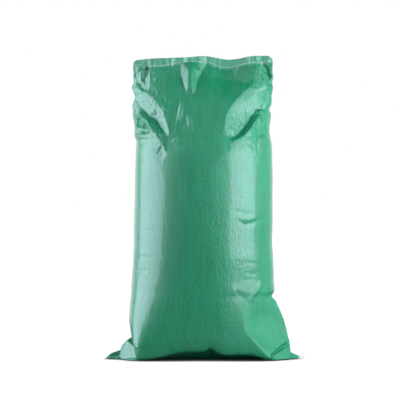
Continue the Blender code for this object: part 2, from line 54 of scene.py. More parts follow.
def makeCamera():
    data = bpy.data.cameras.new("camera")
    data.sensor_width = cameraSetup["sensor"]
    away = -cameraSetup["place"][1]
    data.lens = cameraSetup["pixelsPerMetre"] * away * cameraSetup["sensor"] / cameraSetup["imageWidth"]
    camera = bpy.data.objects.new("camera", data)
    scene.collection.objects.link(camera)
    camera.location = cameraSetup["place"]
    camera.rotation_euler = (math.radians(90), 0, 0)
    scene.camera = camera


makeCamera()

# the cloth's outline, in metres: reach to each side at a height, from the photograph's silhouette
sackShape = {
    "leftEdge": [
        (0.0, -0.186), (0.01, -0.19), (0.026, -0.193), (0.045, -0.197), (0.06, -0.201), (0.083, -0.2053),
        (0.112, -0.21), (0.14, -0.2091), (0.186, -0.2059), (0.22, -0.2039), (0.277, -0.1999),
        (0.334, -0.1979), (0.391, -0.1971), (0.448, -0.1954), (0.516, -0.1942), (0.562, -0.1925),
        (0.585, -0.1917), (0.608, -0.1897), (0.62, -0.1912), (0.628, -0.197), (0.642, -0.1976),
        (0.687, -0.1976), (0.71, -0.1998), (0.722, -0.2002), (0.744, -0.198), (0.767, -0.2028),
        (0.79, -0.2016), (0.813, -0.2008), (0.836, -0.2003),
    ],
    "rightEdge": [
        (0.0, 0.236), (0.01, 0.243), (0.02, 0.2464), (0.038, 0.2467), (0.049, 0.2449), (0.06, 0.241),
        (0.083, 0.2358), (0.106, 0.2299), (0.129, 0.221), (0.152, 0.211), (0.163, 0.2056), (0.172, 0.199),
        (0.178, 0.1985), (0.186, 0.2016), (0.22, 0.2014), (0.277, 0.1997), (0.334, 0.1965), (0.391, 0.198),
        (0.448, 0.1976), (0.516, 0.198), (0.562, 0.1965), (0.585, 0.1962), (0.608, 0.194), (0.63, 0.1905),
        (0.665, 0.1908), (0.687, 0.188), (0.705, 0.19), (0.722, 0.1962), (0.744, 0.1979), (0.767, 0.1979),
        (0.79, 0.2005), (0.813, 0.1985), (0.836, 0.1985),
    ],
    # half the depth at a height, and how square the plan is: 2 is an ellipse
    "depth": [
        (0.0, 0.141), (0.004, 0.1455), (0.012, 0.148), (0.03, 0.15), (0.08, 0.151), (0.14, 0.151),
        (0.45, 0.151), (0.53, 0.146), (0.59, 0.134), (0.64, 0.114), (0.7, 0.084), (0.76, 0.049),
        (0.8, 0.022), (0.822, 0.0075), (0.831, 0.0016),
    ],
    "squareLeft": [
        (0.0, 24.0), (0.03, 17.0), (0.06, 9.0), (0.1, 5.0), (0.163, 3.0), (0.22, 2.5), (0.3, 2.3),
        (0.4, 2.17), (0.6, 2.1), (0.831, 2.0),
    ],
    "squareRight": [
        (0.0, 5.5), (0.03, 5.0), (0.07, 4.0), (0.1, 3.2), (0.13, 2.7), (0.16, 2.4), (0.2, 2.2),
        (0.3, 2.12), (0.45, 2.12), (0.6, 2.1), (0.831, 2.0),
    ],
    "stitchLine": [
        (-0.2005, 0.831), (-0.123, 0.8285), (-0.038, 0.8395), (0.008, 0.8395), (0.0605, 0.8245),
        (0.131, 0.836), (0.199, 0.8395),
    ],
    "topEdge": [
        (-0.2005, 0.8395), (-0.191, 0.846), (-0.177, 0.848), (-0.089, 0.853), (-0.038, 0.8555),
        (0.005, 0.8585), (0.048, 0.8515), (0.062, 0.849), (0.105, 0.8515), (0.128, 0.8565),
        (0.168, 0.8585), (0.19, 0.856), (0.1985, 0.848),
    ],
    "snake": [
        (-0.2005, 0.004), (-0.13, -0.006), (-0.03, 0.002), (0.06, 0.009), (0.14, -0.003), (0.199, -0.002),
    ],
    # the front bottom edge's height above the floor, by place across
    "arch": [
        (-0.2, 0.0), (-0.176, 0.0015), (-0.126, 0.0072), (-0.065, 0.0215), (-0.02, 0.0245),
        (0.0047, 0.0258), (0.0185, 0.0335), (0.03, 0.0262), (0.0463, 0.0178), (0.102, 0.0158),
        (0.1353, 0.0142), (0.152, 0.01), (0.1687, 0.0058), (0.191, 0.0015), (0.22, 0.0),
    ],
    "backArch": 0.5,
    "archOuter": (0.08, 0.14),
    "archTop": 0.1,
    # where the right front corner is cut off by a slanting face, by height, and how it slants
    "corner": [
        (0.0, 0.186), (0.035, 0.15), (0.072, 0.119), (0.1, 0.107), (0.13, 0.103), (0.155, 0.107),
        (0.175, 0.125), (0.2, 0.165), (0.24, 0.22), (0.3, 0.3),
    ],
    "cornerTurn": 45.0,
    # its rounding low down and how much more above, then where it starts, ends and is creased
    "cornerSoft": 0.002,
    "cornerSofter": 0.016,
    "cornerSofterFrom": (0.12, 0.18),
    "cornerStart": (-0.02, 0.03),
    "cornerEnd": (0.05, 0.0),
    "cornerCreaseFrom": (0.07, 0.14),
    # the crease above that face sags in the middle: its rise by place across
    "cornerCrease": [
        (0.06, 0.03), (0.098, 0.02), (0.123, 0.004), (0.148, 0.0), (0.187, 0.008), (0.205, 0.015),
    ],
    # the slack cloth follows the snaking hem from here up, and at its top the hem's wrinkles too
    "pulled": (0.7, 0.831),
    "wrinkledPower": 6,
    "seamHeight": 0.8345,
    "lowest": 0.0015,
    "highest": 0.831,
    "underRows": 10,
    "hemHalf": 0.0012,
    "hemPinch": 0.4,
    "tubeRound": 1.1,
    "ringSamples": 1440,
    "around": 340,
    "up": 247,
    "hemRows": 10,
}


def smoothRead(table, at):
    # a smooth curve through the rows of a table, read at many places at once
    xs = np.array([row[0] for row in table])
    ys = np.array([row[1] for row in table])
    slopes = np.gradient(ys, xs)
    at = np.clip(np.asarray(at, dtype=float), xs[0], xs[-1])
    i = np.clip(np.searchsorted(xs, at, side="right") - 1, 0, len(xs) - 2)
    span = xs[i + 1] - xs[i]
    t = (at - xs[i]) / span
    return (ys[i] * (2 * t**3 - 3 * t**2 + 1) + slopes[i] * span * (t**3 - 2 * t**2 + t)
            + ys[i + 1] * (3 * t**2 - 2 * t**3) + slopes[i + 1] * span * (t**3 - t**2))


def smoothStep(low, high, value):
    t = np.clip((value - low) / (high - low), 0.0, 1.0)
    return t * t * (3 - 2 * t)


def evenAround(x, y, count):
    # the same closed line, its points spread evenly along its length
    x, y = np.append(x, x[0]), np.append(y, y[0])
    along = np.concatenate([[0], np.cumsum(np.hypot(np.diff(x), np.diff(y)))])
    want = np.linspace(0, along[-1], count, endpoint=False)
    return np.interp(want, along, x), np.interp(want, along, y)


# wrinkles that stand across the hem: place, half width, and how far out, in metres
hemWrinkles = [
    (-0.195, 0.005, 0.001), (-0.163, 0.009, -0.0022), (-0.15, 0.003, 0.0015), (-0.1375, 0.003, 0.0009),
    (-0.115, 0.006, -0.0007), (-0.0905, 0.003, 0.0015), (-0.076, 0.006, -0.0008),
    (-0.0577, 0.0045, 0.0018), (-0.044, 0.004, -0.0012), (-0.031, 0.004, 0.001), (-0.012, 0.007, 0.0014),
    (0.01, 0.005, -0.0018), (0.028, 0.004, 0.0007), (0.045, 0.004, 0.001), (0.073, 0.004, -0.0008),
    (0.1, 0.003, 0.001), (0.128, 0.004, 0.0011), (0.15, 0.003, 0.0008), (0.166, 0.008, -0.0016),
    (0.186, 0.004, 0.001),
]


def hemPath(x):
    # the hem's place in depth: its snaking line and the wrinkles across it
    path = smoothRead(sackShape["snake"], x)
    for place, width, out in hemWrinkles:
        path = path - out * np.exp(-((x - place) / width) ** 2)
    return path


def bodyGrid(around, up):
    # rings of the smooth cloth from the floor to the stitched line
    s = sackShape
    heights = np.linspace(s["lowest"], s["highest"], up)
    angles = np.linspace(0, 2 * math.pi, s["ringSamples"], endpoint=False)
    c, d = np.cos(angles), np.sin(angles)
    turn = math.radians(s["cornerTurn"])
    rings = np.zeros((len(heights), around, 3))
    for k, z in enumerate(heights):
        left, right = smoothRead(s["leftEdge"], z), smoothRead(s["rightEdge"], z)
        deep = smoothRead(s["depth"], z)
        power = np.where(c < 0, 2 / smoothRead(s["squareLeft"], z), 2 / smoothRead(s["squareRight"], z))
        x = (left + right) / 2 + (right - left) / 2 * np.sign(c) * np.abs(c) ** power
        y = deep * np.sign(d) * np.abs(d) ** power
        # the slanting face from the right front corner back to the ear, softly rounded
        level = z - smoothRead(s["cornerCrease"], x) * smoothStep(*s["cornerCreaseFrom"], z)
        ahead = (x - smoothRead(s["corner"], level)) * math.sin(turn) - (y + deep) * math.cos(turn)
        soft = s["cornerSoft"] + s["cornerSofter"] * smoothStep(*s["cornerSofterFrom"], level)
        ahead = (ahead + np.hypot(ahead, soft)) / 2 * smoothStep(*s["cornerStart"], ahead)
        ahead = np.where(x > 0, ahead, 0) * smoothStep(*s["cornerEnd"], y)
        x, y = x - ahead * math.sin(turn), y + ahead * math.cos(turn)
        x, y = evenAround(x, y, around)
        rings[k, :, 0], rings[k, :, 1], rings[k, :, 2] = x, y, z
    near = smoothStep(*s["pulled"], rings[:, :, 2])
    plain = smoothRead(s["snake"], rings[:, :, 0])
    rings[:, :, 1] += near * plain + near ** s["wrinkledPower"] * (hemPath(rings[:, :, 0]) - plain)
    rings[:, :, 2] += near * (smoothRead(s["stitchLine"], rings[:, :, 0]) - s["seamHeight"])
    return rings


def gridNormals(grid):
    hair = 1e-12
    around = np.roll(grid, -1, axis=1) - np.roll(grid, 1, axis=1)
    up = np.gradient(grid, axis=0)
    n = np.cross(around, up)
    size = np.linalg.norm(n, axis=2, keepdims=True)
    return n / np.maximum(size, hair)


def seenFromFront(grid):
    # where the camera sees each point, measured on the upright plane through the sack's middle
    cx, cy, cz = cameraSetup["place"]
    scale = -cy / (grid[:, :, 1] - cy)
    return cx + (grid[:, :, 0] - cx) * scale, cz + (grid[:, :, 2] - cz) * scale


foldStep = 0.00285  # metres
foldFacing = (-0.25, 0.15)  # the folds run out at the sides, between these turns of the cloth

# the slack cloth as facets: each line is a crease or a crest, with its points as
# (across, up, out): across and up in steps of foldStep from the middle of the floor line,
# out in millimetres from the smooth cloth towards the viewer
frontCreases = {
    # left of the middle
    "leftBandCrest": [(-67, 269, 3), (-55, 263, 8), (-47, 254, 9), (-40, 245, 8), (-37, 235, 6),
                      (-34, 225, 2)],
    "leftValley": [(-64, 252, -6), (-55, 242, -9), (-47, 238, -10), (-41, 229, -8), (-35.5, 221.5, -1.5)],
    "leftShoulder": [(-68.5, 246, 3), (-62, 241, 8), (-56, 236, 8), (-52, 227, 7), (-45, 221, 6),
                     (-40, 211, 5), (-37, 201, 1)],
    "leftShallow": [(-69.5, 229, -3), (-65, 228, -12), (-60, 227.5, -15), (-56, 227, -10),
                    (-53.5, 225.5, -2)],
    "leftBodyTop": [(-67, 221.5, -1), (-60, 221.5, 1), (-53, 220, 2)],
    "leftNotch": [(-43, 204, -1.5), (-40.5, 207, -2)],
    "leftLower": [(-63, 214, 0.5), (-52, 208, 1.5), (-46, 198, 1), (-40, 190, 0)],
    "leftWedge": [(-56, 291, -7), (-57.5, 284, -5), (-59, 277.5, -3)],
    "leftWedgeOuter": [(-60, 291, 1.5), (-61.5, 283, 3), (-62, 277, 2)],
    "leftWedgeInner": [(-52, 291, 1), (-53.5, 284, 4), (-53, 276, 5), (-54.5, 267, 4)],
    "leftFacetFoot": [(-58, 273, 0), (-59.5, 267, 1)],
    "leftPatch": [(-67, 277, -4), (-63, 275, -3)],
    "leftStreak": [(-65, 290, -2), (-68, 285, -2)],
    # the pleat in the middle
    "pleatLeftCrest": [(-18.7, 295, 7), (-15.7, 285, 10), (-15.5, 274, 8), (-16.2, 268, 2)],
    "pleatRightCrest": [(-11, 295, 7), (-10.7, 285, 10), (-11.2, 273, 7), (-10.3, 266.5, 2)],
    "pleatLeftFoot": [(-22.7, 295, 0), (-22.7, 285, -4), (-20, 276, -5), (-16.8, 266, -3)],
    "pleatRightFoot": [(3, 293.5, 0), (-1, 288, -4), (-5, 279, -5), (-9.3, 265, -3)],
    "pleatLeftOuter": [(-31, 288, 0), (-29, 274, -1.5), (-25, 262, 0)],
    "pleatRightOuter": [(8, 291, 0), (7, 279, -1), (0, 264, 0)],
    "pleatBelow": [(-13, 260, 1), (-12, 248, 1)],
    "leftSoftLine": [(-22, 255, 1), (-25, 239, 1.5), (-28, 228, 0)],
    # right of the middle
    "rightBandTop": [(68, 269, 1), (55, 268.5, 4), (45, 268, 8), (40, 265, 9), (35, 259, 10), (30, 253, 10),
                     (25, 245, 9), (22, 237, 8), (21.3, 228, 7), (23, 221, 4), (27, 217.5, 2)],
    "rightCrease": [(66, 247, -3), (59, 248, -6), (54, 248.5, -9), (49, 242, -13), (44, 233, -14),
                    (38, 226, -11), (32, 221, -7), (28.5, 219, -3)],
    "rightShoulder": [(67, 243, 1), (58, 243.5, 1), (53, 238, 4), (47, 229, 6), (41, 222, 6), (33, 217, 6),
                      (27, 212, 5), (24, 205, 3)],
    "rightCreaseLow": [(67, 233, -1.5), (54, 231, -0.5)],
    "rightDark": [(56, 222, -2), (54, 211, -1)],
    "rightPatch": [(59, 217, 2.5), (60, 210, 1.5)],
    "rightLower": [(57, 200, 0), (40, 198, 1), (28, 192, 0.5)],
    "rightHollow": [(33, 277, -1), (42, 274, -1.5), (50, 279, 0), (58, 278, -1)],
    "rightCrumple": [(45, 285, 2), (53, 287, 4), (59, 283, 3)],
    "rightWedge": [(61.5, 293, -7), (64, 285, -10), (66, 277, -9), (67, 268, -5)],
    "rightWedgeOuter": [(68, 293, 0), (69.5, 281, 0)],
    "rightWedgeInner": [(57.5, 293, 1), (60, 282, 3), (62.5, 271, 3)],
    # where the slack cloth meets the seam, the sides and the filled part
    "seam": [(-76, 296, 0), (-45, 296, 0), (-25, 297, 0), (-18.5, 297, 3), (-11, 297, 3), (6, 296, 0),
             (25, 295, 0), (50, 296, 0), (76, 296, 0)],
    "leftSide": [(-76, 270, 0), (-76, 240, 0), (-76, 210, 0)],
    "rightSide": [(76, 270, 0), (76, 240, 0), (76, 210, 0)],
    "fill": [(-76, 180, 0), (-40, 178, 0), (0, 185, 0), (40, 178, 0), (76, 180, 0)],
    "middle": [(-5, 240, 0), (-5, 215, 0)],
}

# thin creases by profile, where 2 is a soft swell and 1 a sharp crease, and then by line, with its
# points as (across, up, half width, out) in steps and millimetres
bodyCreases = [
    (1.4, [
        [(-59, 224, 1.2, 1.0), (-54, 217, 1.3, 2.0), (-49, 212, 1.2, 0.8)],
        [(-57, 217, 1.1, -0.8), (-50, 210.5, 1.3, -2.2), (-41, 209, 1.2, -1.5)],
        [(-47, 203, 1.1, -0.6), (-41, 210, 1.2, -1.8)],
        [(-45, 196, 1.1, -0.5), (-40, 203, 1.2, -1.5), (-38, 207, 1.1, -0.6)],
        [(-66, 262, 1.1, -0.8), (-58, 253, 1.2, -1.8), (-52, 248, 1.1, -0.6)],
        [(-56, 260, 1.0, -0.6), (-49, 249, 1.1, -1.8), (-43, 240, 1.0, -0.6)],
        [(-48, 251, 1.0, -0.5), (-42, 240, 1.1, -1.6), (-38, 231, 1.0, -0.5)],
        [(-21, 260, 1.6, 1.2), (-22.5, 245, 2.1, 6.0), (-27, 228, 1.6, 1.2)],
        [(-15.5, 246, 1.5, 1.0), (-14, 235, 1.9, 4.6), (-12, 224, 1.5, 1.0)],
    ]),
    (1.3, [
        [(-50, 284, 0.9, 0.3), (-46, 271, 1.0, 1.3), (-45, 258, 0.9, 0.4)],
        [(-38, 288, 0.9, 0.4), (-36, 277, 1.0, 1.2), (-38, 266, 0.9, 0.3)],
        [(-32, 262, 0.9, 0.4), (-35, 250, 1.0, 1.2), (-39, 240, 0.9, 0.3)],
        [(20, 286, 1.0, 0.4), (16, 276, 1.2, 1.2), (15, 266, 1.0, 0.3)],
        [(43, 290, 0.8, 0.4), (40, 280, 1.0, 1.4), (35, 272, 0.8, 0.3)],
        [(55, 262, 1.0, 0.5), (60, 255, 1.1, 1.8), (64, 251, 1.0, 0.5)],
        [(44, 229, 1.0, 0.5), (49, 222, 1.1, 1.8), (53, 216, 1.0, 0.4)],
    ]),
    (1.4, [
        [(36, 135, 1.4, -0.3), (42, 132.5, 1.6, -1.0), (50, 134.5, 1.6, -2.0), (58, 138, 1.8, -1.5),
         (68, 142, 1.5, -1.2)],
    ]),
    (1.8, [
        [(35, 140, 1.6, 0.6), (42, 137.5, 1.8, 1.6), (50, 139, 1.6, 0.8)],
    ]),
    (1.5, [
        [(31, 146, 1.6, -1.0), (49, 143, 1.6, -1.0)],
    ]),
    (1.3, [
        [(35, 64, 1.4, -1.5), (44, 55, 1.6, -2.0), (53, 53, 1.8, -2.0), (66, 57, 2.0, -3.0),
         (70, 61, 2.0, -5.0)],
    ]),
    (1.5, [
        [(58.5, 75, 1.5, 1.5), (53, 66, 1.8, 5.0), (46, 56, 1.5, 1.5)],
    ]),
    (1.4, [
        [(-61, 127, 1.2, -1.8), (-52, 126.5, 1.2, -1.4), (-44, 127, 1.0, -0.4)],
        [(-67, 101, 1.2, -2.2), (-52, 100.5, 1.2, -1.6), (-38, 101.5, 1.0, -0.5)],
        [(-65, 86, 1.2, -2.4), (-57, 86.5, 1.2, -1.4)],
        [(38, 94, 1.0, -0.2), (47, 95, 1.1, -0.6), (56, 92, 1.0, -0.3)],
        [(43, 84, 1.0, -0.3), (50, 83, 1.1, -0.7), (57, 86, 1.0, -0.2)],
        [(40, 76, 1.0, -0.2), (47, 77.5, 1.1, -0.6), (53, 77, 1.0, -0.2)],
        [(41, 68.5, 1.0, -0.5), (48, 69.5, 1.1, -0.4)],
        [(30, 176, 1.1, -0.8), (38, 178, 1.2, -1.0), (45, 175, 1.0, -0.4)],
        [(33, 160, 1.1, -0.6), (42, 158, 1.1, -0.9), (50, 159, 1.0, -0.4)],
    ]),
    (1.2, [
        [(67.5, 2, 1.4, -4.0), (85, 14, 1.4, -6.0)],
        [(72, 0, 1.4, -4.0), (86, 10, 1.4, -5.0)],
    ]),
]


def facetField(across, up, creases):
    # the height between the crease lines, flat from line to line
    # as good as nothing, and how near two points become one, both in steps
    hair, merged = 1e-6, 0.001
    spots, heights, edges = [], [], []
    for line in creases.values():
        for k, (x, z, out) in enumerate(line):
            if k:
                edges.append((len(spots) - 1, len(spots)))
            spots.append(Vector((x, z)))
            heights.append(out)
    made, _, faces, origin, _, _ = geometry.delaunay_2d_cdt(spots, edges, [], 0, merged)
    if any(not o for o in origin):
        print("crease lines cross near", [tuple(made[k]) for k, o in enumerate(origin) if not o])
    heights = [heights[o[0]] if o else 0.0 for o in origin]
    x, z = across / foldStep, up / foldStep
    field = np.zeros_like(x)
    for i, j, k in faces:
        (ax, az), (bx, bz), (cx, cz) = made[i], made[j], made[k]
        area = (bx - ax) * (cz - az) - (cx - ax) * (bz - az)
        if abs(area) < hair:
            continue
        one = ((bx - x) * (cz - z) - (cx - x) * (bz - z)) / area
        two = ((cx - x) * (az - z) - (ax - x) * (cz - z)) / area
        inside = (one >= -hair) & (two >= -hair) & (one + two <= 1 + hair)
        value = one * heights[i] + two * heights[j] + (1 - one - two) * heights[k]
        field = np.where(inside, value, field)
    return field / 1000


def lineField(across, up, folds):
    # how far the cloth stands out at each point, from every crease together
    x, z = across / foldStep, up / foldStep
    total = np.zeros_like(x)
    for sharp, line in ((sharp, line) for sharp, lines in folds for line in lines):
        best = np.full(x.shape, 1e9)
        width = np.full(x.shape, 1.0)
        height = np.zeros_like(x)
        for (x1, z1, w1, h1), (x2, z2, w2, h2) in zip(line, line[1:]):
            run, rise = x2 - x1, z2 - z1
            t = np.clip(((x - x1) * run + (z - z1) * rise) / (run**2 + rise**2), 0, 1)
            away = np.hypot(x - x1 - t * run, z - z1 - t * rise)
            nearer = away < best
            best = np.where(nearer, away, best)
            width = np.where(nearer, w1 + (w2 - w1) * t, width)
            height = np.where(nearer, h1 + (h2 - h1) * t, height)
        total += height * np.exp(-((best / width) ** sharp))
    return total / 1000


def softened(field):
    # each point moved towards its neighbours, so that creases are as round as thick film
    around = (np.roll(field, 1, axis=1) + np.roll(field, -1, axis=1)) / 2
    tall = np.concatenate([field[:1], field, field[-1:]])
    return field / 2 + around / 4 + (tall[:-2] + tall[2:]) / 8


# the small creases of stiff film, in metres: their size, their height in the slack and in the
# filled part, and between which heights above the floor the cloth turns slack and they end
crumpleShape = {
    "size": 0.013,
    "height": 0.00045,
    "filledHeight": 0.00008,
    "slackFrom": (0.52, 0.64),
    "endsAt": (0.81, 0.83),
    # each layer's share of the size and of the height, then how much upright they are drawn out
    "layers": [(1.0, 1.0), (0.55, 0.6)],
    "upright": 0.8,
    "ridge": 3.0,
    "crest": 0.6,
    "seed": 5.0,
}


def crumpleField(grid):
    # ridges where two layers of noise cross zero, so that they meet as creases do
    c = crumpleShape
    slack = smoothStep(*c["slackFrom"], grid[:, :, 2])
    top = 1 - smoothStep(*c["endsAt"], grid[:, :, 2])
    field = np.zeros(grid.shape[:2])
    for k, (size, share) in enumerate(c["layers"]):
        flat = grid.reshape(-1, 3) / (c["size"] * size) * (1.0, 1.0, c["upright"])
        waves = [noise.noise(Vector(p) + Vector((c["seed"] * (k + 1), 0, 0))) for p in flat]
        field += share * (c["crest"] - c["ridge"] * np.abs(np.array(waves)).reshape(grid.shape[:2]))
    return field * (c["filledHeight"] + (c["height"] - c["filledHeight"]) * slack) * top


def archField(grid):
    # the front bottom edge hangs clear of the floor between its corners, the back edge a little
    x, y, z = grid[:, :, 0], grid[:, :, 1], grid[:, :, 2]
    front = smoothRead(sackShape["arch"], x)
    back = smoothRead(sackShape["arch"], -x) * sackShape["backArch"]
    outer = smoothStep(*sackShape["archOuter"], np.abs(y))
    return np.where(y < 0, front, back) * outer * (1 - smoothStep(0.0, sackShape["archTop"], z))


def makeMesh(name, points, faces, uvs=None):
    mesh = bpy.data.meshes.new(name)
    mesh.from_pydata(points.tolist(), [], faces)
    if uvs is not None:
        layer = mesh.uv_layers.new(name="cloth")
        layer.data.foreach_set("uv", uvs.ravel())
    mesh.shade_smooth()
    piece = bpy.data.objects.new(name, mesh)
    scene.collection.objects.link(piece)
    return piece


def designedGrid(around, up):
    # the cloth with its folds as seen in the photograph, and the same folds mirrored on the back
    grid = bodyGrid(around, up)
    normals = gridNormals(grid)
    across, high = seenFromFront(grid)
    out = 0
    for side in (1, -1):
        folds = facetField(side * across, high, frontCreases) + lineField(side * across, high, bodyCreases)
        out = out + smoothStep(*foldFacing, -side * normals[:, :, 1]) * folds
    grid = grid + normals * softened(out)[:, :, None]
    grid[:, :, 2] += archField(grid)
    return grid


def doubled(grid):
    # twice as many rings and twice as many points in each, on a smooth curve through the old ones
    left, right = grid, np.roll(grid, -1, axis=1)
    before, after = np.roll(grid, 1, axis=1), np.roll(grid, -2, axis=1)
    wide = np.empty((grid.shape[0], grid.shape[1] * 2, 3))
    wide[:, 0::2], wide[:, 1::2] = left, (9 * (left + right) - before - after) / 16
    padded = np.concatenate([2 * wide[:1] - wide[1:2], wide, 2 * wide[-1:] - wide[-2:-1]])
    between = (9 * (padded[1:-2] + padded[2:-1]) - padded[:-3] - padded[3:]) / 16
    tall = np.empty((wide.shape[0] * 2 - 1, wide.shape[1], 3))
    tall[0::2], tall[1::2] = wide, between
    return tall


def crossFaces(rows, around):
    index = np.arange(rows * around).reshape(rows, around)
    a, b = index[:-1], np.roll(index[:-1], -1, axis=1)
    c, d = np.roll(index[1:], -1, axis=1), index[1:]
    return np.stack([a, b, c, d], axis=2).reshape(-1, 4).tolist()


# the cloth is a little too wide for its place, so it wrinkles upright as it settles; below the
# slack part it has only a share of the spare width and is held harder
drape = {
    "spare": 0.022,
    "spareBelow": 0.1,
    "slackFrom": (0.54, 0.66),
    "holdSlack": 0.1,
    "holdFilled": 0.5,
    "frames": 15,
    "cloth": {
        "quality": 6, "mass": 0.05, "air_damping": 2.0, "pin_stiffness": 1.0,
        "tension_stiffness": 40, "compression_stiffness": 20, "shear_stiffness": 10,
        "tension_damping": 5, "compression_damping": 5, "shear_damping": 5,
        "bending_model": "ANGULAR", "bending_stiffness": 1.0, "bending_damping": 0.5,
    },
}


def settledGrid(grid):
    # the cloth held softly to its designed shape while its spare length buckles
    rows, around = grid.shape[:2]
    piece = makeMesh("cloth_settling", grid.reshape(-1, 3), crossFaces(rows, around))
    slack = smoothStep(*drape["slackFrom"], grid[:, :, 2])
    hold = drape["holdFilled"] + (drape["holdSlack"] - drape["holdFilled"]) * slack
    hold[-1:], hold[:2] = 1.0, 1.0
    held = piece.vertex_groups.new(name="held")
    for k, weight in enumerate(hold.ravel().tolist()):
        held.add([k], weight, "REPLACE")
    wide = grid.copy()
    spare = drape["spareBelow"] + (1 - drape["spareBelow"]) * slack
    wide[:, :, :2] *= 1 + drape["spare"] * spare[:, :, None]
    piece.shape_key_add(name="placed")
    piece.shape_key_add(name="wide").data.foreach_set("co", wide.ravel())
    cloth = piece.modifiers.new("settling", "CLOTH")
    for setting, value in drape["cloth"].items():
        setattr(cloth.settings, setting, value)
    cloth.settings.vertex_group_mass = held.name
    cloth.settings.rest_shape_key = piece.data.shape_keys.key_blocks["wide"]
    cloth.settings.effector_weights.gravity = 0.0
    cloth.collision_settings.use_collision = False
    cloth.point_cache.frame_start, cloth.point_cache.frame_end = 1, drape["frames"]
    for step in range(1, drape["frames"] + 1):
        scene.frame_set(step)
    settled = piece.evaluated_get(bpy.context.evaluated_depsgraph_get()).to_mesh()
    points = np.zeros(rows * around * 3)
    settled.vertices.foreach_get("co", points)
    bpy.data.objects.remove(piece)
    scene.frame_set(1)
    return points.reshape(grid.shape)


def clothGrid():
    # the designed folds, then the wrinkles of the settled cloth, then its small creases
    s = sackShape
    grid = designedGrid(s["around"], s["up"])
    start = designedGrid(s["around"] // 2, (s["up"] + 1) // 2)
    moved = settledGrid(start) - start
    print("settled, moved at most", round(float(np.abs(moved).max()) * 1000, 1), "mm")
    grid = grid + doubled(moved)
    return grid + gridNormals(grid) * crumpleField(grid)[:, :, None]


def underGrid(first):
    # the underside, from a line along the seam out to the lowest ring
    rows = []
    for k in range(sackShape["underRows"]):
        t = k / sackShape["underRows"]
        row = first.copy()
        row[:, 1] = first[:, 1] * t
        row[:, 2] = sackShape["lowest"]
        rows.append(row)
    under = np.array(rows)
    under[:, :, 2] += archField(under)
    return under


def hemGrid(last):
    # the flat folded hem above the stitched line
    s = sackShape
    x = last[:, 0]
    side = np.where(np.arange(len(x)) < len(x) / 2, 1.0, -1.0)
    side[0] = side[len(x) // 2] = 0
    below, above = smoothRead(s["stitchLine"], x), smoothRead(s["topEdge"], x)
    rows = []
    for k in range(1, s["hemRows"] + 1):
        thick = s["hemHalf"] * (1 if k < s["hemRows"] else s["hemPinch"])
        z = below + (above - below) * (k / s["hemRows"])
        rows.append(np.stack([x, hemPath(x) + side * thick, z], axis=1))
    return np.array(rows)


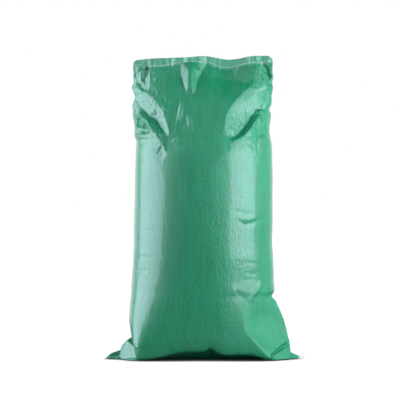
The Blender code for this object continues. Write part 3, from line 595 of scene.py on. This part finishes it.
# the bottom corners, folded up and pressed flat: points as (across, up, depth), across and up in
# steps as seen, depth in metres behind the camera's upright plane (towards the viewer is minus)
earShape = {
    "left": {
        "points": {
            "peak": (-72.2, 20.4, -0.066), "ridge1": (-76.8, 17.2, -0.08),
            "ridge2": (-82.0, 12.2, -0.0765), "ridge3": (-82.4, 8.0, -0.078),
            "ridge4": (-93.2, 4.2, -0.072), "tip": (-99.0, -1.2, -0.074), "low1": (-84.2, -2.1, -0.086),
            "low2": (-80.2, -2.6, -0.098), "low3": (-75.2, -3.4, -0.13), "low4": (-64.0, -3.5, -0.14),
            "crest": (-75.2, 15.6, -0.089), "hollow": (-66.6, 8.0, -0.112),
            "foldEnd": (-63.0, -0.2, -0.124), "foldFoot": (-75.0, -0.8, -0.0995),
            "foldLeft": (-80.9, -1.5, -0.086), "waist": (-84.0, 1.6, -0.077),
            "inHigh": (-52.0, 22.0, -0.04), "inFront": (-52.0, 8.0, -0.1), "inLow": (-50.0, -3.0, -0.1),
            "backPeak": (-64.0, 10.0, 0.03), "backFoot": (-66.0, 0.8, 0.045),
            "backMiddle": (-84.0, 0.6, 0.0),
        },
        "faces": [
            "peak crest hollow", "peak ridge1 crest", "ridge1 ridge2 crest", "ridge2 ridge3 waist crest",
            "crest waist foldLeft hollow", "hollow foldLeft foldFoot foldEnd", "ridge3 ridge4 tip waist",
            "waist tip low1", "waist low1 foldLeft", "foldLeft low1 low2 foldFoot", "foldFoot low2 low3",
            "foldFoot low3 low4 foldEnd", "inHigh peak hollow inFront", "inFront hollow foldEnd",
            "inFront foldEnd low4 inLow", "peak inHigh backPeak", "ridge1 peak backPeak",
            "ridge2 ridge1 backPeak", "ridge3 ridge2 backPeak backMiddle", "ridge4 ridge3 backMiddle",
            "tip ridge4 backMiddle", "backMiddle backPeak backFoot", "low1 tip backMiddle low2",
            "low2 backMiddle backFoot inLow", "low3 low2 inLow", "low4 low3 inLow",
            "inHigh inFront inLow backFoot", "inHigh backFoot backPeak",
        ],
    },
    "right": {
        "points": {
            "upper1": (67.5, 3.6, -0.124), "upper2": (77.5, 13.0, -0.069), "upper3": (81.5, 16.0, -0.052),
            "fold1": (68.3, 2.4, -0.137), "fold2": (78.3, 10.6, -0.086), "fold3": (84.2, 14.8, -0.064),
            "under1": (69.0, 1.5, -0.125), "under2": (79.0, 8.6, -0.076), "under3": (84.6, 12.8, -0.052),
            "lip1": (69.0, 0.6, -0.142), "lip2": (79.6, 7.6, -0.096), "lip3": (85.4, 11.4, -0.066),
            "side": (86.0, 6.2, -0.062), "tip": (96.8, 0.9, -0.06), "tipLow": (95.8, -1.3, -0.066),
            "low": (87.0, -1.9, -0.092), "low2": (78.0, -2.7, -0.122), "low3": (68.6, -3.2, -0.14),
            "back": (84.0, 0.8, 0.01), "backHigh": (78.0, 14.0, 0.01), "inHigh": (60.0, 10.0, -0.03),
            "inFront": (58.0, 2.0, -0.11), "inLow": (58.0, -2.2, -0.11), "inBack": (60.0, 1.0, 0.01),
        },
        "faces": [
            "upper1 fold1 fold2 upper2", "upper2 fold2 fold3 upper3", "fold1 under1 under2 fold2",
            "fold2 under2 under3 fold3", "under1 lip1 lip2 under2", "under2 lip2 lip3 under3",
            "lip1 low3 low2 lip2", "lip2 low2 low side", "lip2 side lip3", "side low tipLow tip",
            "inHigh inFront upper1", "inHigh upper1 upper2", "inHigh upper2 upper3", "inFront inLow low3",
            "inFront low3 lip1", "inFront lip1 under1", "inFront under1 fold1", "inFront fold1 upper1",
            "inHigh upper3 backHigh", "upper3 fold3 backHigh", "fold3 under3 backHigh",
            "under3 lip3 backHigh", "lip3 side backHigh", "side tip back backHigh", "tip tipLow back",
            "tipLow low back", "low low2 back", "low2 low3 inLow", "low2 inLow inBack",
            "low2 inBack back", "backHigh back inBack", "inHigh backHigh inBack",
            "inHigh inBack inLow inFront",
        ],
    },
    "cuts": 12,
    "smoothing": 3,
}


def fromPhoto(across, up, depth):
    # the place that the camera sees at a spot of the photograph, at a given depth
    cx, cy, cz = cameraSetup["place"]
    share = (depth - cy) / -cy
    return Vector((cx + (across * foldStep - cx) * share, depth, cz + (up * foldStep - cz) * share))


def makeEar(shape):
    # the folded corner as a fine mesh, its creases rounded a little
    shaper = bmesh.new()
    spots = {name: shaper.verts.new(fromPhoto(*place)) for name, place in shape["points"].items()}
    for face in shape["faces"]:
        shaper.faces.new([spots[name] for name in face.split()])
    bmesh.ops.recalc_face_normals(shaper, faces=shaper.faces)
    bmesh.ops.triangulate(shaper, faces=shaper.faces)
    bmesh.ops.subdivide_edges(shaper, edges=shaper.edges, cuts=earShape["cuts"], use_grid_fill=True)
    axes = {"use_axis_x": True, "use_axis_y": True, "use_axis_z": True}
    for _ in range(earShape["smoothing"]):
        bmesh.ops.smooth_vert(shaper, verts=shaper.verts, factor=0.5, **axes)
    for spot in shaper.verts:
        spot.co.z = max(spot.co.z, sackShape["lowest"])
    return shaper


def makeSack():
    grid = clothGrid()
    grid = np.concatenate([underGrid(grid[0]), grid, hemGrid(grid[-1])])
    rows, around = grid.shape[:2]
    points = grid.reshape(-1, 3)
    faces = crossFaces(rows, around)
    # the first and last rings closed by a strip from front to back
    half = around // 2
    for first, turn in ((0, 1), ((rows - 1) * around, -1)):
        for k in range(1, half):
            one, two = first + k, first + (k + 1) % around
            three, four = first + (around - k - 1) % around, first + (around - k) % around
            if k == half - 1:
                faces.append([one, two, four][::turn])
            else:
                faces.append([one, two, three, four][::turn])
        faces.append([first, first + 1, first + around - 1][::turn])
    # the cloth's own measure: metres around the tube and metres up it
    su = np.arange(around + 1) / around * sackShape["tubeRound"]
    sv = np.concatenate([[0], np.cumsum(np.linalg.norm(np.diff(grid[:, around * 3 // 4], axis=0), axis=1))])
    sv += clothLook["hemStart"] - sv[-sackShape["hemRows"] - 1]
    u0, v0 = np.meshgrid(su[:-1], sv[:-1])
    u1, v1 = np.meshgrid(su[1:], sv[1:])
    corners = ((u0, v0), (u1, v0), (u1, v1), (u0, v1))
    uv = np.stack([np.stack(corner, 2) for corner in corners], 2).reshape(-1, 2)
    rest = sum(len(f) for f in faces[len(uv) // 4:])
    uv = np.concatenate([uv, np.zeros((rest, 2))])
    sack = makeMesh("sack_cloth", points, faces, uv)
    addEars(sack)
    return sack


def addEars(sack):
    # both corners and the turned edge become part of the sack's own mesh
    whole = bmesh.new()
    whole.from_mesh(sack.data)
    layer = whole.loops.layers.uv["cloth"]
    edge = turnedEdge()
    rows, count = edge.shape[:2]
    spots = [whole.verts.new(place) for place in edge.reshape(-1, 3)]
    sides = [(r * count + k, r * count + k + 1, (r + 1) % rows * count + k + 1, (r + 1) % rows * count + k)
             for r in range(rows) for k in range(count - 1)]
    sides += [tuple(range(0, rows * count, count)), tuple(range(count - 1, rows * count, count))[::-1]]
    added = []
    for side in sides:
        face = whole.faces.new([spots[k] for k in side])
        face.smooth = True
        added.append(face)
        for loop in face.loops:
            loop[layer].uv = (loop.vert.co.x, loop.vert.co.z + clothLook["hemStart"])
    bmesh.ops.recalc_face_normals(whole, faces=added)
    for side in ("left", "right"):
        ear = makeEar(earShape[side])
        added = {spot: whole.verts.new(spot.co) for spot in ear.verts}
        for face in ear.faces:
            new = whole.faces.new([added[spot] for spot in face.verts])
            new.smooth = True
            for loop in new.loops:
                loop[layer].uv = (loop.vert.co.x, loop.vert.co.z)
        ear.free()
    whole.to_mesh(sack.data)
    whole.free()


# the stitched line of the mouth: a needle thread in front, a looper thread's chain behind
stitches = {
    "first": -0.1945,
    "last": 0.1925,
    "pitch": 0.0098,
    "shown": 0.8,
    "radius": 0.00066,
    "sides": 7,
    "steps": 9,
    "above": 0.0025,
    "sway": 0.0004,
    "swayStep": 2.7,
    # in radii: how far a stitch dips in at its ends and stands out, in front and behind
    "dip": 0.7,
    "rise": 1.6,
    "risePower": 0.4,
    "loopStart": 0.2,
    "loopRise": 1.4,
    "loopHalf": 0.0012,
    "loopPower": 0.7,
    "loopReach": 1.15,
    "looperShare": 0.8,
    "turnedPast": 0.003,
    "turnedSteps": 172,
    "turnedBelow": 0.0075,
    "turnedInside": 0.001,
    "turnedWaves": [(0.001, 61), (0.0005, 233)],
    "turnedThick": 0.0007,
    "turnedOverlap": 0.0003,
    # its outline from the low edge to the top, each point as (share up, out in thicknesses)
    "turnedOutline": [(0.0, 0.2), (0.0, 1.3), (0.3, 1.0), (0.7, 1.0), (1.0, 0.9), (1.0, 0.2)],
}

# the bottom seam's thread, under the sack from ear to ear, and its two loose tails
bottomThread = {
    "radius": 0.0006,
    "leftTail": [(-0.2795, -0.0758, 0.0011), (-0.2775, -0.0748, 0.0016), (-0.2745, -0.0728, 0.0012)],
    "rightTail": [(0.2735, -0.061, 0.0012), (0.279, -0.063, 0.003), (0.2845, -0.064, 0.0062),
                  (0.288, -0.0645, 0.011)],
    "height": 0.0011,
    "sway": 0.0004,
    "swayStep": 1.9,
    "steps": 60,
}


def tube(line, radius, sides):
    # rings of points along a line, faces between them with both ends closed, and their measure
    line = np.array(line, dtype=float)
    along = np.gradient(line, axis=0)
    along /= np.linalg.norm(along, axis=1, keepdims=True)
    aside = (0.0, 0.3, 1.0)  # a direction that no thread runs in
    one = np.cross(along, aside)
    one /= np.linalg.norm(one, axis=1, keepdims=True)
    two = np.cross(along, one)
    angle = np.linspace(0, 2 * math.pi, sides, endpoint=False)[None, :, None]
    rings = line[:, None] + radius * (np.cos(angle) * one[:, None] + np.sin(angle) * two[:, None])
    faces = crossFaces(len(line), sides)
    last = (len(line) - 1) * sides
    faces += [list(range(sides))[::-1], list(range(last, last + sides))]
    length = np.concatenate([[0], np.cumsum(np.linalg.norm(np.diff(line, axis=0), axis=1))])
    measure = [(far, k / sides) for far in length for k in range(sides)]
    return rings.reshape(-1, 3), faces, measure


def threadPiece(name, lines, radius, sides):
    points, faces, measure = [], [], []
    for line in lines:
        spots, sidesMade, far = tube(line, radius, sides)
        faces += [[k + len(points) for k in face] for face in sidesMade]
        points += spots.tolist()
        measure += far
    uvs = np.array([measure[k] for face in faces for k in face])
    return makeMesh(name, np.array(points), faces, uvs)


def stitchLines():
    # each stitch dips into the cloth at both ends; behind it the loops form a chain
    t = stitches
    count = round((t["last"] - t["first"]) / t["pitch"])
    pitch = (t["last"] - t["first"]) / count
    front, behind = [], []
    for k in range(count):
        share = np.linspace(0, 1, t["steps"])
        x = t["first"] + pitch * (k + 0.5 + (share - 0.5) * t["shown"])
        z = smoothRead(sackShape["stitchLine"], x) + t["above"] + t["sway"] * math.sin(t["swayStep"] * k)
        lift = np.sin(share * math.pi) ** t["risePower"]
        y = hemPath(x) - sackShape["hemHalf"] - t["radius"] * (t["rise"] * lift - t["dip"])
        front.append(np.stack([x, y, z], axis=1))
        x = t["first"] + pitch * (k + share * t["loopReach"])
        z = smoothRead(sackShape["stitchLine"], x) + t["above"]
        y = hemPath(x) + sackShape["hemHalf"] + t["turnedThick"]
        y += t["radius"] * (t["loopRise"] * lift + t["loopStart"])
        for side in (-1, 1):
            loop = side * t["loopHalf"] * np.sin(share * math.pi) ** t["loopPower"]
            behind.append(np.stack([x, y, z + loop], axis=1))
    return front, behind


def bottomLine():
    b = bottomThread
    start, end = np.array(b["leftTail"][-1]), np.array(b["rightTail"][0])
    share = np.linspace(0, 1, b["steps"] + 1)[1:-1, None]
    middle = start + (end - start) * share
    middle[:, 1] += b["sway"] * np.sin(np.arange(len(middle)) * b["swayStep"])
    middle[:, 2] = b["height"]
    return [np.concatenate([b["leftTail"], middle, b["rightTail"]])]


def turnedEdge():
    # the mouth's cut edge, folded down behind the hem and caught by the stitches
    t, s = stitches, sackShape
    x = np.linspace(t["first"] - t["turnedPast"], t["last"] + t["turnedPast"], t["turnedSteps"])
    low = smoothRead(s["stitchLine"], x) - t["turnedBelow"]
    low += sum(tall * np.sin(x * waves) for tall, waves in t["turnedWaves"])
    high = smoothRead(s["topEdge"], x) - t["turnedInside"]
    rows = []
    for share, out in t["turnedOutline"]:
        y = hemPath(x) + s["hemHalf"] - t["turnedOverlap"] + out * t["turnedThick"]
        rows.append(np.stack([x, y, low + (high - low) * share], axis=1))
    return np.array(rows)


# the look of the cloth: flat tapes under a thin glossy film
clothLook = {
    "colour": (0.001, 0.237, 0.106),
    "pale": (0.004, 0.315, 0.152),
    "hemColour": (0.075, 0.38, 0.24),
    "hemStart": 2.0,
    # how much clouds, long streaks and each tape's own tone turn the colour pale
    "paleStart": -1.15,
    "cloudScale": 9.0,
    "cloudDetail": 6.0,
    "cloudShare": 0.7,
    "streakScale": (170.0, 9.0, 1.0),
    "streakDetail": 4.0,
    "streakShare": 2.3,
    "tapeShare": 0.35,
    "tapeWidth": 0.003,
    "tapeRound": 3.0,
    "tapeSeeds": (0.5, 900.5),
    "weaveDepth": 0.0002,
    "roughness": 0.25,
    "film": 0.4,
    "filmRoughness": 0.12,
    "scuffedRoughness": 0.6,
    "scuffedFilm": 0.06,
    # where it is scuffed: middle, reach, the share of it that is scuffed full, its top, how much
    "scuffs": [
        ((0.19, -0.08, 0.075), 0.185, 0.6, 0.174, 1.0),
        ((0.14, -0.14, 0.2), 0.06, 0.2, 0.26, 0.5),
        ((-0.188, -0.15, 0.0), 0.04, 0.5, 0.06, 1.0),
        ((-0.182, -0.055, 0.668), 0.032, 0.55, 0.7, 0.9),
    ],
    "scuffTopSoft": 0.012,
    # the film's small bumps, each layer's scale and depth, drawn out upright
    "crinkles": [(140.0, 0.0008), (300.0, 0.0012)],
    "crinkleDetail": 3.0,
    "crinkleUpright": 0.4,
    # sharp little creases of the slack cloth: from which height, how far from the middle, and the
    # share of them that the middle has
    "creaseScale": 62.0,
    "creaseDepth": 0.0062,
    "creaseDetail": 2.0,
    "creaseUpright": 0.65,
    "creaseBend": 0.6,
    "creaseHeights": (0.56, 0.68),
    "creaseSides": (0.06, 0.13),
    "creaseMiddle": 0.12,
}


def addNode(tree, kind, inputs, **settings):
    # a shader node with its settings and its inputs
    node = tree.nodes.new("ShaderNode" + kind)
    for name, value in settings.items():
        setattr(node, name, value)
    plug(tree, node, inputs)
    return node


def plug(tree, node, inputs):
    # each input, by name or number, linked to another node's output or set to a value
    for name, value in inputs.items():
        if isinstance(value, bpy.types.NodeSocket):
            tree.links.new(value, node.inputs[name])
        else:
            node.inputs[name].default_value = value


def maths(tree, kind, *values):
    return addNode(tree, "Math", dict(enumerate(values)), operation=kind).outputs[0]


def mixed(tree, share, first, second, kind="RGBA"):
    inputs = {"Factor": share, "A": first, "B": second}
    return addNode(tree, "Mix", inputs, data_type=kind).outputs["Result"]


def ranged(tree, value, start, end, low=0.0, high=1.0, kind="LINEAR"):
    inputs = {"Value": value, "From Min": start, "From Max": end, "To Min": low, "To Max": high}
    return addNode(tree, "MapRange", inputs, interpolation_type=kind).outputs["Result"]


def stretched(tree, where, scale):
    return addNode(tree, "Mapping", {"Vector": where, "Scale": scale}).outputs["Vector"]


def speckled(tree, where, scale, detail, bend=0.0, kind="FBM"):
    inputs = {"Vector": where, "Scale": scale, "Detail": detail, "Distortion": bend}
    return addNode(tree, "TexNoise", inputs, noise_type=kind).outputs["Fac"]


def bumped(tree, height, depth, normal=None):
    inputs = {"Height": height, "Distance": depth} | ({"Normal": normal} if normal else {})
    return addNode(tree, "Bump", inputs).outputs["Normal"]


def measured(tree):
    # the cloth's own measure: metres around the tube and metres up it
    return addNode(tree, "UVMap", {}, uv_map="cloth").outputs["UV"]


def newMaterial(name):
    material = bpy.data.materials.new(name)
    material.use_nodes = True
    return material, material.node_tree, material.node_tree.nodes["Principled BSDF"]


def weaveGroup():
    # the tapes' height and tones, the long streaks and the hem, all by the cloth's own measure
    look = clothLook
    group = bpy.data.node_groups.new("tapeWeave", "ShaderNodeTree")
    group.interface.new_socket("tapeWidth", in_out="INPUT", socket_type="NodeSocketFloat")
    for name in ("height", "tone", "streak", "hem"):
        group.interface.new_socket(name, in_out="OUTPUT", socket_type="NodeSocketFloat")
    entry, leave = group.nodes.new("NodeGroupInput"), group.nodes.new("NodeGroupOutput")
    where = measured(group)
    split = addNode(group, "SeparateXYZ", {0: where}).outputs
    heights, tones, numbers = [], [], []
    for k, seed in enumerate(look["tapeSeeds"]):
        place = maths(group, "DIVIDE", split[k], entry.outputs["tapeWidth"])
        away = maths(group, "ABSOLUTE", maths(group, "SUBTRACT", maths(group, "FRACT", place), 0.5))
        curved = maths(group, "POWER", maths(group, "MULTIPLY", away, 2.0), look["tapeRound"])
        heights.append(maths(group, "SUBTRACT", 1.0, curved))
        numbers.append(maths(group, "FLOOR", place))
        chance = {"W": maths(group, "ADD", numbers[-1], seed)}
        tones.append(addNode(group, "TexWhiteNoise", chance, noise_dimensions="1D").outputs["Value"])
    check = maths(group, "MODULO", maths(group, "ADD", *numbers), 2.0)
    drawn = stretched(group, where, look["streakScale"])
    plug(group, leave, {
        "height": mixed(group, check, *heights, "FLOAT"),
        "tone": mixed(group, check, *tones, "FLOAT"),
        "streak": speckled(group, drawn, 1.0, look["streakDetail"]),
        "hem": maths(group, "GREATER_THAN", split[1], look["hemStart"]),
    })
    return group


def clothColour(tree, tapes, place):
    look = clothLook
    cloud = speckled(tree, place, look["cloudScale"], look["cloudDetail"])
    tone = maths(tree, "MULTIPLY_ADD", cloud, look["cloudShare"], look["paleStart"])
    tone = maths(tree, "MULTIPLY_ADD", tapes["streak"], look["streakShare"], tone)
    tone = maths(tree, "MULTIPLY_ADD", tapes["tone"], look["tapeShare"], tone)
    colour = mixed(tree, tone, (*look["colour"], 1), (*look["pale"], 1))
    return mixed(tree, tapes["hem"], colour, (*look["hemColour"], 1))


def scuffed(tree, place, height):
    # how far the film is scuffed matt, from 0 to 1
    worn = 0.0
    for middle, reach, full, top, amount in clothLook["scuffs"]:
        away = addNode(tree, "VectorMath", {0: place, 1: middle}, operation="DISTANCE").outputs["Value"]
        near = ranged(tree, away, reach, reach * full, 0.0, amount, "SMOOTHSTEP")
        below = ranged(tree, height, top + clothLook["scuffTopSoft"], top)
        worn = maths(tree, "MAXIMUM", maths(tree, "MULTIPLY", near, below), worn)
    return worn


def clothNormal(tree, tapes, place, spot):
    look, normal = clothLook, None
    drawn = stretched(tree, place, (1.0, 1.0, look["crinkleUpright"]))
    for scale, depth in look["crinkles"]:
        normal = bumped(tree, speckled(tree, drawn, scale, look["crinkleDetail"]), depth, normal)
    slack = ranged(tree, spot["Z"], *look["creaseHeights"], kind="SMOOTHSTEP")
    side = maths(tree, "ABSOLUTE", spot["X"])
    outer = ranged(tree, side, *look["creaseSides"], look["creaseMiddle"], kind="SMOOTHSTEP")
    leaning = stretched(tree, place, (1.0, 1.0, look["creaseUpright"]))
    ridges = speckled(tree, leaning, look["creaseScale"], look["creaseDetail"], look["creaseBend"],
                      "RIDGED_MULTIFRACTAL")
    creased = maths(tree, "MULTIPLY", ridges, maths(tree, "MULTIPLY", slack, outer))
    normal = bumped(tree, creased, look["creaseDepth"], normal)
    return bumped(tree, tapes["height"], look["weaveDepth"], normal)


def clothMaterial(weave):
    look = clothLook
    material, tree, shader = newMaterial("wovenCloth")
    tapes = addNode(tree, "Group", {"tapeWidth": look["tapeWidth"]}, node_tree=weave).outputs
    place = addNode(tree, "TexCoord", {}).outputs["Object"]
    spot = addNode(tree, "SeparateXYZ", {0: place}).outputs
    worn = scuffed(tree, place, spot["Z"])
    plug(tree, shader, {
        "Base Color": clothColour(tree, tapes, place),
        "Roughness": ranged(tree, worn, 0.0, 1.0, look["roughness"], look["scuffedRoughness"]),
        "Coat Weight": ranged(tree, worn, 0.0, 1.0, look["film"], look["scuffedFilm"]),
        "Coat Roughness": look["filmRoughness"],
        "Normal": clothNormal(tree, tapes, place, spot),
    })
    return material


# the look of the plied thread: diagonal ridges around each strand
threadLook = {
    "colour": (0.56, 0.82, 0.69),
    "roughness": 0.7,
    "stretch": (900.0, 2.0, 1.0),
    "ridgeScale": 0.5,
    "ridgeDepth": 0.0002,
}


def threadMaterial():
    look = threadLook
    material, tree, shader = newMaterial("spunThread")
    inputs = {"Vector": stretched(tree, measured(tree), look["stretch"]), "Scale": look["ridgeScale"]}
    ridges = addNode(tree, "TexWave", inputs, wave_type="BANDS", bands_direction="DIAGONAL")
    plug(tree, shader, {
        "Base Color": (*look["colour"], 1),
        "Roughness": look["roughness"],
        "Normal": bumped(tree, ridges.outputs["Fac"], look["ridgeDepth"]),
    })
    return material


# soft studio light: for each side softboxes that are mirrored in the film and a wider one that
# only fills, a bright backdrop behind, a dim lamp above and a dim room in front
studio = {
    "colour": (0.89, 0.95, 1.18),
    "fillColour": (0.95, 1.0, 1.0),
    "distance": 1.7,
    # angle from the front in degrees, power, width, lower and upper edge, whether it only fills
    "softboxes": {
        "leftGloss": (-82.0, 124.0, 2.0, -0.3, 2.9, False),
        "rightGloss": (52.5, 30.0, 1.34, 0.22, 1.25, False),
        "rightGlossWide": (54.5, 9.0, 1.64, 0.1, 1.35, False),
        "rightHigh": (54.0, 24.0, 1.5, 1.3, 2.8, False),
        "leftBack": (-130.0, 5.0, 1.3, -0.3, 1.85, False),
        "rightBack": (108.0, 7.0, 1.8, -0.3, 1.85, False),
        "leftFill": (-85.0, 40.0, 1.6, -0.3, 1.85, True),
        "rightFill": (66.0, 56.0, 1.6, -0.1, 1.85, True),
    },
    # power, place, width, height, tilt in degrees, whether it is mirrored in the film
    "plainLamps": {
        "backdropLight": (28.0, (0, 2.4, 1.05), 4.2, 2.1, -90, True),
        "topLight": (10.0, (0.0, -0.7, 2.3), 1.8, 1.8, 12, False),
    },
    "roomColour": (0.93, 0.97, 1, 1),
    "room": 0.065,
    "floorSize": 40.0,
    "floorDrop": 0.0002,
    "floorColour": (1.1, 1.1, 1.1, 1),
    "floorBounce": 0.28,
    # painted shadow: the floor is painted darkest where the sack's edge hangs just above it
    "paintedShadowColour": (0.006, 0.014, 0.013, 1),
    "paintedShadowReach": 0.05,
    "paintedShadowSamples": 16,
    "paintedShadowPower": 2.0,
}


def areaLamp(name, power, place, wide, tall):
    data = bpy.data.lights.new(name, "AREA")
    data.shape = "RECTANGLE"
    data.size, data.size_y, data.energy = wide, tall, power
    lamp = bpy.data.objects.new(name, data)
    scene.collection.objects.link(lamp)
    lamp.location = place
    return lamp


def softbox(name, angle, power, width, low, high, fills):
    turn, middle = math.radians(angle), (high + low) / 2
    place = (math.sin(turn) * studio["distance"], -math.cos(turn) * studio["distance"], middle)
    lamp = areaLamp(name, power, place, width, high - low)
    lamp.data.color = studio["fillColour"] if fills else studio["colour"]
    towards = Vector((0, 0, middle)) - lamp.location
    lamp.rotation_euler = towards.to_track_quat("-Z", "Y").to_euler()
    lamp.visible_glossy, lamp.visible_diffuse = not fills, fills


def plainLamp(name, power, place, wide, tall, tilt, mirrored):
    lamp = areaLamp(name, power, place, wide, tall)
    lamp.rotation_euler = (math.radians(tilt), 0, 0)
    lamp.visible_camera, lamp.visible_glossy = False, mirrored


def seenDirectly(tree, other, seen, output):
    # one shader for what the camera sees directly, another for all that light meets
    ray = addNode(tree, "LightPath", {}).outputs["Is Camera Ray"]
    both = addNode(tree, "MixShader", {0: ray, 1: other.outputs[0], 2: seen.outputs[0]})
    plug(tree, tree.nodes[output], {"Surface": both.outputs[0]})


def makeWorld():
    scene.world = bpy.data.worlds.new("room")
    scene.world.use_nodes = True
    tree = scene.world.node_tree
    backdrop = tree.nodes["Background"]
    plug(tree, backdrop, {"Color": (1, 1, 1, 1), "Strength": 1.0})
    dim = addNode(tree, "Background", {"Color": studio["roomColour"], "Strength": studio["room"]})
    seenDirectly(tree, dim, backdrop, "World Output")


def makeFloor():
    bpy.ops.mesh.primitive_plane_add(size=studio["floorSize"], location=(0, 0, -studio["floorDrop"]))
    floor = bpy.context.active_object
    floor.name = "floor"
    material, tree, shader = newMaterial("paleFloorPaintedShadow")
    tree.nodes.remove(shader)
    # the floor the camera sees is emitted, even white with a painted shadow that darkens it near the sack
    nearby = addNode(tree, "AmbientOcclusion", {"Distance": studio["paintedShadowReach"]},
                     samples=studio["paintedShadowSamples"])
    unshadowedShare = maths(tree, "POWER", nearby.outputs["AO"], studio["paintedShadowPower"])
    tone = mixed(tree, unshadowedShare, studio["paintedShadowColour"], studio["floorColour"])
    seen = addNode(tree, "Emission", {"Color": tone})
    bounce = addNode(tree, "BsdfDiffuse", {"Color": (studio["floorBounce"],) * 3 + (1,)})
    seenDirectly(tree, bounce, seen, "Material Output")
    floor.data.materials.append(material)


def makeStudio():
    for name, values in studio["softboxes"].items():
        softbox(name, *values)
    for name, values in studio["plainLamps"].items():
        plainLamp(name, *values)
    makeWorld()
    makeFloor()


def main():
    cloth, thread = clothMaterial(weaveGroup()), threadMaterial()
    print("looks made")
    sack = makeSack()
    print("sack triangles", sum(len(face.vertices) - 2 for face in sack.data.polygons))
    sack.data.materials.append(cloth)
    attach(sack, "root")
    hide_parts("sack")
    front, behind = stitchLines()
    radius, sides = stitches["radius"], stitches["sides"]
    for name, node, lines, thick in (
        ("needle_stitches", "top_needle_thread", front, radius),
        ("looper_chain", "top_looper_thread", behind, radius * stitches["looperShare"]),
        ("bottom_thread", "bottom_seam_thread", bottomLine(), bottomThread["radius"]),
    ):
        piece = threadPiece(name, lines, thick, sides)
        piece.data.materials.append(thread)
        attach(piece, "root")
        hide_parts(node)
    print("threads made")
    makeStudio()
    print("studio made")


main()
